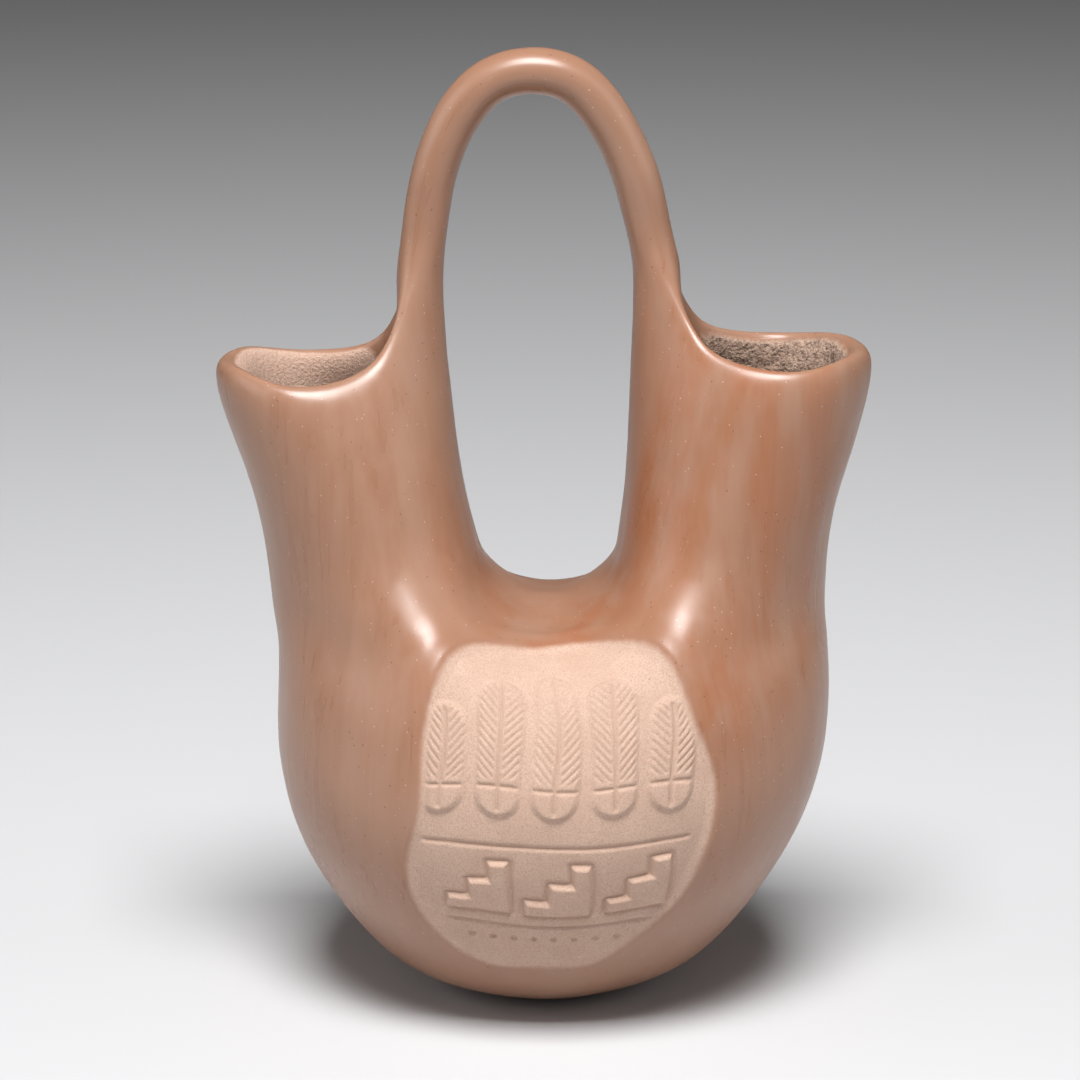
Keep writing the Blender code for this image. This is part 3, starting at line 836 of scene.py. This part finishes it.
def close_joints(bm, cuts):
    """Closes a piece where it meets its neighbours: the open edges of each joint are rolled out flat and
    filled there. Returns the new faces."""
    made = []
    edges = [edge for edge in bm.edges if edge.is_boundary]
    middles = np.array([(edge.verts[0].co + edge.verts[1].co) / 2 for edge in edges])
    for cut in cuts:
        rim = [edges[i] for i in near_joint(cut, middles, ON_JOINT)]
        if not rim:
            continue
        joint = cut[0]
        verts = unique(vert for edge in rim for vert in edge.verts)
        middle = rim[0].link_faces[0].calc_center_median()
        facing = 1 if middle.z < fall_at(joint, np.array(middle)) else -1
        rolled(joint, verts, -1)
        filled = bmesh.ops.triangle_fill(bm, edges=rim, use_beauty=True, normal=(0, 0, 1))
        faces = [item for item in filled["geom"] if isinstance(item, bmesh.types.BMFace)]
        for face in faces:
            face.normal_update()
            if face.normal.z * facing < 0:
                face.normal_flip()
        rolled(joint, verts, 1)
        made += faces
    return made


def clay_piece(name, master, number, cuts):
    """One piece of clay, cut from the worked skin and closed at its joints."""
    bm = bmesh.new()
    bm.from_mesh(master)
    piece_layer = bm.faces.layers.int["piece"]
    others = [face for face in bm.faces if face[piece_layer] != number]
    bmesh.ops.delete(bm, geom=others, context="FACES")
    for face in close_joints(bm, cuts):
        face[piece_layer] = JOINT_FACE
        face.material_index = MATERIAL_NAMES.index("joint_clay")
        face.smooth = True
    mesh = new_mesh(name, bm)
    shade_as_one(mesh)
    return new_object(name, mesh)


def shade_as_one(mesh):
    """Shades the skin as if the pieces were still one, and each closed joint flat."""
    skin_normals = read_vectors(mesh.attributes["shade"].data, "vector")
    face_normals = read_vectors(mesh.polygons, "normal")
    numbers = read_numbers(mesh.attributes["piece"].data, "value")
    points = read_numbers(mesh.loops, "vertex_index")
    faces = np.repeat(np.arange(len(numbers)), read_numbers(mesh.polygons, "loop_total"))
    closed = (numbers == JOINT_FACE)[faces]
    normals = np.where(closed[:, None], face_normals[faces], skin_normals[points])
    mesh.normals_split_custom_set(normals)
    for name in ("shade", "piece", "inside"):
        mesh.attributes.remove(mesh.attributes[name])


def cut_skin(skin, cuts):
    """Cuts the worked skin along its joints and notes, for each face, its piece and its material."""
    bm = bmesh.new()
    bm.from_mesh(skin)
    cut_joints(bm, cuts)
    bm.to_mesh(skin)
    bm.free()
    skin.shade_smooth()
    write_vectors(skin, "shade", read_vectors(skin.vertices, "normal"))
    centres = read_vectors(skin.polygons, "center")
    numbers = skin.attributes.new("piece", "INT", "FACE")
    numbers.data.foreach_set("value", face_pieces(centres).astype(np.int32))
    skin.polygons.foreach_set("material_index", face_materials(skin).astype(np.int32))


def face_materials(skin):
    """The number of each face's material, by the finishes that its corners need."""
    starts = read_numbers(skin.polygons, "loop_start")
    points = read_numbers(skin.loops, "vertex_index")

    def most(name):
        return np.maximum.reduceat(read_floats(skin, name)[points], starts)

    least_handle = np.minimum.reduceat(read_floats(skin, "handle")[points], starts)
    number = MATERIAL_NAMES.index
    found = np.where(most("handle") > HANDLE_BLEND[0], number("root_clay"), number("polished_clay"))
    found = np.where(least_handle > HANDLE_BLEND[1], number("handle_clay"), found)
    found = np.where(most("carved") > 0, number("carved_clay"), found)
    return np.where(most("rough") > 0, number("mouth_clay"), found)


JOINT_FACE = -1
HANDLE_BLEND = (0.2, 0.8)
MATERIAL_NAMES = ("polished_clay", "root_clay", "handle_clay", "carved_clay", "mouth_clay", "joint_clay")


def node(tree, kind, inputs=None, **settings):
    """A shader node with its settings, and its inputs set to values or linked from other sockets."""
    made = tree.nodes.new(kind)
    for name, value in settings.items():
        setattr(made, name, value)
    for name, value in (inputs or {}).items():
        socket = made.inputs[name]
        if isinstance(value, bpy.types.NodeSocket):
            tree.links.new(value, socket)
        else:
            socket.default_value = value
    return made


def math_node(operation, first, second, third=0.0):
    inputs = {0: first, 1: second, 2: third}
    return node(first.id_data, "ShaderNodeMath", inputs, operation=operation).outputs[0]


def spread(value, low, high, to_low=0.0, to_high=1.0):
    """A value eased from one range to another."""
    inputs = {"Value": value, "From Min": low, "From Max": high, "To Min": to_low, "To Max": to_high}
    made = node(value.id_data, "ShaderNodeMapRange", inputs, interpolation_type="SMOOTHSTEP")
    return made.outputs["Result"]


def mix_colour(share, first, second):
    inputs = {"Factor": share, 6: first, 7: second}
    return node(share.id_data, "ShaderNodeMix", inputs, data_type="RGBA").outputs[2]


def mix_value(share, first, second):
    inputs = {"Factor": share, 2: first, 3: second}
    return node(share.id_data, "ShaderNodeMix", inputs, data_type="FLOAT").outputs[0]


def cloud(place, size, stretch, detail, roughness=0.5):
    """Soft noise of a given size in metres, drawn out along the third axis."""
    scale = (1 / size, 1 / size, 1 / (size * stretch))
    scaled = node(place.id_data, "ShaderNodeVectorMath", {0: place, 1: scale}, operation="MULTIPLY")
    inputs = {"Vector": scaled.outputs[0], "Scale": 1.0, "Detail": detail, "Roughness": roughness}
    return node(place.id_data, "ShaderNodeTexNoise", inputs).outputs["Fac"]


DOT_CORE = 0.4  # share of a dot's radius that is fully coloured


def dots(place, spacing, radius, share):
    """Small round dots, 1 in their middles, in a share of the cells of a given spacing."""
    inputs = {"Vector": place, "Scale": 1 / spacing, "Randomness": 1.0}
    made = node(place.id_data, "ShaderNodeTexVoronoi", inputs)
    chosen = node(place.id_data, "ShaderNodeSeparateColor", {"Color": made.outputs["Color"]})
    edge = radius / spacing
    round_dot = spread(made.outputs["Distance"], edge, DOT_CORE * edge)
    picked = math_node("LESS_THAN", chosen.outputs["Red"], share)
    return math_node("MULTIPLY", round_dot, picked)


FINISH_OUTPUTS = ("Color", "Roughness", "Height")
SOCKET_KINDS = {"Vector": "NodeSocketVector", "Color": "NodeSocketColor"}


def finish_group(name, *inputs):
    """An empty node group. Returns its tree, its inputs by name and a function that links an output."""
    tree = bpy.data.node_groups.new(name, "ShaderNodeTree")
    for labels, way in ((inputs, "INPUT"), (FINISH_OUTPUTS, "OUTPUT")):
        for label in labels:
            kind = SOCKET_KINDS.get(label, "NodeSocketFloat")
            tree.interface.new_socket(label, in_out=way, socket_type=kind)
    entry = tree.nodes.new("NodeGroupInput")
    leave = tree.nodes.new("NodeGroupOutput")

    def put(label, socket):
        tree.links.new(socket, leave.inputs[label])

    return tree, entry.outputs, put


# Colours of the clay
TAN = (0.338, 0.179, 0.115, 1.0)
BROWN = (0.308, 0.153, 0.093, 1.0)
ORANGE = (0.318, 0.113, 0.047, 1.0)
PALE = (0.374, 0.226, 0.157, 1.0)
RUST = (0.292, 0.128, 0.068, 1.0)
SPECK = (0.080, 0.038, 0.024, 1.0)
MICA = (0.720, 0.580, 0.480, 1.0)
SAND = (0.570, 0.398, 0.312, 1.0)
SAND_DARK = (0.450, 0.290, 0.212, 1.0)
INNER = (0.470, 0.325, 0.246, 1.0)
# Dark grains of the inner clay, also laid on as painted shade deeper in the mouths
INNER_DARK_AND_SHADE = (0.185, 0.122, 0.088, 1.0)
INNER_PALE = (0.620, 0.415, 0.322, 1.0)


# Clouds in the clay: size in metres, how far they are drawn out, detail and roughness
STROKE = (0.0024, 14.0, 1.0)
FINE_STROKE = (0.0010, 20.0, 1.0)
BLOTCH = (0.017, 2.2, 2.0)
FLUSH = (0.008, 4.0, 2.0)
BAND = (0.0060, 9.0, 1.0)
SAND_GRAIN = (0.00035, 1.0, 3.0, 0.7)
SAND_DRIFT = (0.006, 1.0, 3.0, 0.6)
INNER_GRAIN = (0.00060, 1.0, 3.0, 0.7)
INNER_CLOD = (0.0042, 1.0, 4.0, 0.65)
RAGGED_EDGE = (0.0016, 1.0, 3.0, 0.6)
# Dots in the clay: spacing, radius and the share of the cells that hold one
POLISH_SPECKS = (0.0020, 0.00023, 0.65)
POLISH_FLECKS = (0.0017, 0.00019, 0.65)
SAND_SPECKS = (0.0018, 0.00020, 0.20)
SAND_FLECKS = (0.0022, 0.00022, 0.22)
INNER_SPECKS = (0.0016, 0.00032, 0.32)
# How strongly the dots are coloured
POLISH_SPECK_TINT = 0.65
SAND_SPECK_TINT = 0.45
FLECK_TINT = 0.50
# How a cloud or a mask becomes a share of colour: from, to, and the shares there
STROKE_SHARE = (0.20, 0.80)
STREAK_SHARE = (0.35, 0.75, 0.0, 0.15)
PALE_SHARE = (0.34, 0.72, 0.0, 0.50)
FLUSH_SHARE = (0.34, 0.62, 0.15, 1.0)
FINE_SHARE = (0.25, 0.75, 0.0, 0.16)
SAND_SHARE = (0.30, 0.62)
DRIFT_SHARE = (0.35, 0.70, 0.0, 0.30)
GROOVE_SHADE_SHARE = (0.2, 1.0, 0.0, 0.45)
COARSE_AND_SHADE_SHARE = (0.30, 0.95)
INNER_SHARE = (0.32, 0.58)
CLOD_SHARE = (0.46, 0.70, 0.0, 0.32)
WIPED_SHARE = (0.25, 0.60)
WARM_GAIN = 0.80
WARM_LEAST = 0.06
CLOD_REACH = 0.5
# How clouds become roughness and height
POLISH_ROUGHNESS = 0.25
DULL_STROKES = (0.3, 0.7, 0.0, 0.08)
DULL_BLOTCHES = (0.3, 0.7, 0.0, 0.06)
SAND_ROUGHNESS = (0.3, 0.7, 0.72, 0.92)
INNER_ROUGHNESS = (0.3, 0.7, 0.78, 0.98)
FINE_RISE = 0.25
CLOD_RISE = 4.0
POLISH_SPECK_RISE = -0.6
SAND_SPECK_RISE = -0.4


def dot_colour(colour, dot, share, tint):
    return mix_colour(math_node("MULTIPLY", dot, share), colour, tint)


def polished_finish():
    """Stone-polished slip: strokes drawn out along the third axis, warm flushes, specks and mica."""
    tree, given, put = finish_group("polished_finish", "Vector", "Warm", "Steep")
    place = given["Vector"]

    def on_steep_clay(stroke):
        swing = math_node("SUBTRACT", stroke, 0.5)
        return math_node("MULTIPLY_ADD", swing, given["Steep"], 0.5)

    stroke = on_steep_clay(cloud(place, *STROKE))
    fine_stroke = on_steep_clay(cloud(place, *FINE_STROKE))
    blotch = cloud(place, *BLOTCH)
    flush = cloud(place, *FLUSH)
    band = cloud(place, *BAND)
    colour = mix_colour(spread(stroke, *STROKE_SHARE), BROWN, TAN)
    streak = math_node("MULTIPLY", spread(band, *STREAK_SHARE), given["Steep"])
    colour = mix_colour(streak, colour, RUST)
    colour = mix_colour(spread(blotch, *PALE_SHARE), colour, PALE)
    warm = math_node("MULTIPLY_ADD", given["Warm"], WARM_GAIN, WARM_LEAST)
    warm = math_node("MULTIPLY", warm, spread(flush, *FLUSH_SHARE))
    colour = mix_colour(warm, colour, ORANGE)
    colour = mix_colour(spread(fine_stroke, *FINE_SHARE), colour, PALE)
    speck = dots(place, *POLISH_SPECKS)
    colour = dot_colour(colour, speck, POLISH_SPECK_TINT, SPECK)
    put("Color", dot_colour(colour, dots(place, *POLISH_FLECKS), FLECK_TINT, MICA))
    dull = spread(stroke, *DULL_STROKES)
    dull = math_node("ADD", dull, spread(blotch, *DULL_BLOTCHES))
    put("Roughness", math_node("ADD", dull, POLISH_ROUGHNESS))
    height = math_node("MULTIPLY_ADD", fine_stroke, FINE_RISE, stroke)
    put("Height", math_node("MULTIPLY_ADD", speck, POLISH_SPECK_RISE, height))
    return tree


def sandy_finish():
    """Unpolished clay of the carved panel: fine sand, painted a little darker along the sunk lines as
    shade in their grooves.
    """
    tree, given, put = finish_group("sandy_finish", "Vector", "GrooveShade")
    place = given["Vector"]
    grain = cloud(place, *SAND_GRAIN)
    drift = cloud(place, *SAND_DRIFT)
    colour = mix_colour(spread(grain, *SAND_SHARE), SAND_DARK, SAND)
    colour = mix_colour(spread(drift, *DRIFT_SHARE), colour, SAND_DARK)
    # Painted shade: the sand is darkened along the sunk lines, as if shaded in their grooves.
    colour = mix_colour(spread(given["GrooveShade"], *GROOVE_SHADE_SHARE), colour, SAND_DARK)
    speck = dots(place, *SAND_SPECKS)
    colour = dot_colour(colour, speck, SAND_SPECK_TINT, SPECK)
    put("Color", dot_colour(colour, dots(place, *SAND_FLECKS), FLECK_TINT, MICA))
    put("Roughness", spread(grain, *SAND_ROUGHNESS))
    put("Height", math_node("MULTIPLY_ADD", speck, SAND_SPECK_RISE, grain))
    return tree


def rough_finish():
    """Bare clay inside the mouths: wiped pale under the rim, then coarse sand, clods and dark grains,
    darkened further by painted shade deeper in the mouth.
    """
    tree, given, put = finish_group("rough_finish", "Vector", "DeepAndShade")
    place = given["Vector"]
    grain = cloud(place, *INNER_GRAIN)
    clod = cloud(place, *INNER_CLOD)
    # Deeper in the mouth the colour turns to the dark sand: partly rougher clay, partly painted shade.
    coarse_and_shade = math_node("MULTIPLY_ADD", clod, CLOD_REACH, given["DeepAndShade"])
    coarse_and_shade = spread(coarse_and_shade, *COARSE_AND_SHADE_SHARE)
    sand = mix_colour(spread(grain, *INNER_SHARE), INNER_DARK_AND_SHADE, INNER)
    sand = mix_colour(spread(clod, *CLOD_SHARE), sand, INNER_DARK_AND_SHADE)
    wiped = mix_colour(spread(grain, *WIPED_SHARE), INNER, INNER_PALE)
    colour = mix_colour(coarse_and_shade, wiped, sand)
    put("Color", dot_colour(colour, dots(place, *INNER_SPECKS), coarse_and_shade, SPECK))
    put("Roughness", spread(grain, *INNER_ROUGHNESS))
    clods = math_node("MULTIPLY", clod, coarse_and_shade)
    put("Height", math_node("MULTIPLY_ADD", clods, CLOD_RISE, grain))
    return tree


def attribute(tree, name, output="Fac"):
    return node(tree, "ShaderNodeAttribute", attribute_name=name).outputs[output]


CLAY_IOR = 1.5
POLISH_HEIGHT = 0.000015
SAND_HEIGHT = 0.00012
ROUGH_HEIGHT = 0.00036
RAGGED = 0.35  # unevenness of the edge between polished and bare clay
EDGE_BAND = (0.12, 0.88)


def ragged_share(place, mask):
    """The share of bare clay, with an uneven edge."""
    ragged = cloud(place, *RAGGED_EDGE)
    edge = math_node("MULTIPLY_ADD", ragged, RAGGED, -0.5 * RAGGED)
    return spread(math_node("ADD", edge, attribute(place.id_data, mask)), *EDGE_BAND)


def coat(finish, rise, inputs):
    """The colour, roughness and height of a finish in a material."""
    made = node(inputs["Vector"].id_data, "ShaderNodeGroup", inputs, node_tree=finish).outputs
    return made["Color"], made["Roughness"], math_node("MULTIPLY", made["Height"], rise)


def laid_over(under, share, over):
    """A coat with another one over it, where the share is 1."""
    mixers = (mix_colour, mix_value, mix_value)
    return [mix(share, first, second) for mix, first, second in zip(mixers, under, over)]


def fire(shader, colour, roughness, height):
    """Joins a coat to the shader."""
    tree = shader.id_data
    bump = node(tree, "ShaderNodeBump", {"Height": height, "Distance": 1.0, "Strength": 1.0})
    tree.links.new(colour, shader.inputs["Base Color"])
    tree.links.new(roughness, shader.inputs["Roughness"])
    tree.links.new(bump.outputs["Normal"], shader.inputs["Normal"])


def new_material(name, inputs):
    """A material and its shader, with inputs of the shader set."""
    made = bpy.data.materials.new(name)
    made.use_nodes = True
    shader = made.node_tree.nodes["Principled BSDF"]
    for label, value in inputs.items():
        shader.inputs[label].default_value = value
    return made, shader


def clay_materials():
    """The vase's materials by name. They share three finishes, laid over each other."""
    polish, sandy, rough = polished_finish(), sandy_finish(), rough_finish()
    found = {}
    for name in MATERIAL_NAMES:
        found[name], shader = new_material(name, {"Metallic": 0.0, "IOR": CLAY_IOR})
        tree = found[name].node_tree
        place = node(tree, "ShaderNodeTexCoord").outputs["Object"]
        if name == "joint_clay":
            fire(shader, *coat(rough, ROUGH_HEIGHT, {"Vector": place}))
            continue
        fired = {"Warm": attribute(tree, "warm"), "Steep": attribute(tree, "steep")}
        on_body = {"Vector": place, **fired}
        on_leg = {"Vector": attribute(tree, "strokes", "Vector"), **fired}
        clay = coat(polish, POLISH_HEIGHT, on_leg if name == "handle_clay" else on_body)
        if name == "root_clay":
            share = spread(attribute(tree, "handle"), *HANDLE_BLEND)
            clay = laid_over(clay, share, coat(polish, POLISH_HEIGHT, on_leg))
        elif name == "carved_clay":
            inputs = {"Vector": place, "GrooveShade": attribute(tree, "groove_shade")}
            clay = laid_over(clay, ragged_share(place, "carved"), coat(sandy, SAND_HEIGHT, inputs))
        elif name == "mouth_clay":
            inputs = {"Vector": place, "DeepAndShade": attribute(tree, "deep_and_shade")}
            clay = laid_over(clay, ragged_share(place, "rough"), coat(rough, ROUGH_HEIGHT, inputs))
        fire(shader, *clay)
    return found


def lay_materials(mesh, finishes):
    """Gives a piece the materials that its faces use, and no others."""
    used, slots = np.unique(read_numbers(mesh.polygons, "material_index"), return_inverse=True)
    for number in used:
        mesh.materials.append(finishes[MATERIAL_NAMES[number]])
    mesh.polygons.foreach_set("material_index", slots.astype(np.int32))


FLOOR_COLOUR = (0.570, 0.570, 0.580, 1.0)
FLOOR_SIZE = 4.0
FLOOR_ROUGHNESS = 0.9
FLOOR_SHINE = 0.1


def add_floor():
    bm = bmesh.new()
    bmesh.ops.create_grid(bm, x_segments=1, y_segments=1, size=FLOOR_SIZE)
    floor = new_object("floor", new_mesh("floor", bm))
    paper, _shader = new_material("paper", {
        "Base Color": FLOOR_COLOUR, "Roughness": FLOOR_ROUGHNESS, "Specular IOR Level": FLOOR_SHINE
    })
    floor.data.materials.append(paper)


FULL_SPREAD = math.radians(180)
# Soft boxes, as place, what they point at, width, height, spread of their grid and power in watts
SOFT_BOXES = (
    ("key_box", (0.0, -0.67, 1.56), (0.0, 0.0, 0.06), 0.74, 0.74, math.radians(88), 11.3),
    ("front_wall", (0.0, -2.20, 1.00), (0.0, 0.0, 0.08), 2.0, 1.2, FULL_SPREAD, 3.0),
    ("left_wall", (-1.90, -0.40, 0.90), (0.0, 0.0, 0.08), 1.6, 1.2, FULL_SPREAD, 9.0),
    ("right_wall", (1.90, -0.40, 0.90), (0.0, 0.0, 0.08), 1.6, 1.2, FULL_SPREAD, 5.5),
)
AMBIENT = 0.04


def add_lights():
    for name, place, aim, width, height, spread_angle, power in SOFT_BOXES:
        data = bpy.data.lights.new(name, "AREA")
        data.shape = "RECTANGLE"
        data.size = width
        data.size_y = height
        data.spread = spread_angle
        data.energy = power
        box = new_object(name, data)
        box.location = place
        box.rotation_euler = (Vector(aim) - Vector(place)).to_track_quat("-Z", "Y").to_euler()
    world = bpy.context.scene.world or bpy.data.worlds.new("room")
    bpy.context.scene.world = world
    world.use_nodes = True
    room = world.node_tree.nodes["Background"]
    room.inputs["Color"].default_value = (1.0, 1.0, 1.0, 1.0)
    room.inputs["Strength"].default_value = AMBIENT


def add_camera():
    camera = new_object("camera", bpy.data.cameras.new("camera"))
    camera.data.sensor_width = CAMERA_SENSOR
    camera.data.lens = CAMERA_LENS
    camera.data.clip_start = CAMERA_NEAR
    back = Vector((0, -math.cos(CAMERA_ELEVATION), math.sin(CAMERA_ELEVATION)))
    camera.location = CAMERA_TARGET + back * CAMERA_DISTANCE
    camera.rotation_mode = "QUATERNION"
    camera.rotation_quaternion = (-back).to_track_quat("-Z", "Y")
    bpy.context.scene.camera = camera


cuts = [(joint, 0) for joint in body_joints()]
for side in (LEFT, RIGHT):
    cuts += [(joint, side.sign) for joint in neck_joints(side)]
skin = smooth_skin()
refine_panel(skin)
work_surface(skin)
cut_skin(skin, cuts)
finishes = clay_materials()
for number, node_name in enumerate(piece_names()):
    piece = clay_piece(f"{node_name}_skin", skin, number, cuts)
    lay_materials(piece.data, finishes)
    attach(piece, "root")
    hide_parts(node_name)
bpy.data.meshes.remove(skin)

add_floor()
add_lights()
add_camera()
bpy.context.scene.view_settings.view_transform = "Standard"
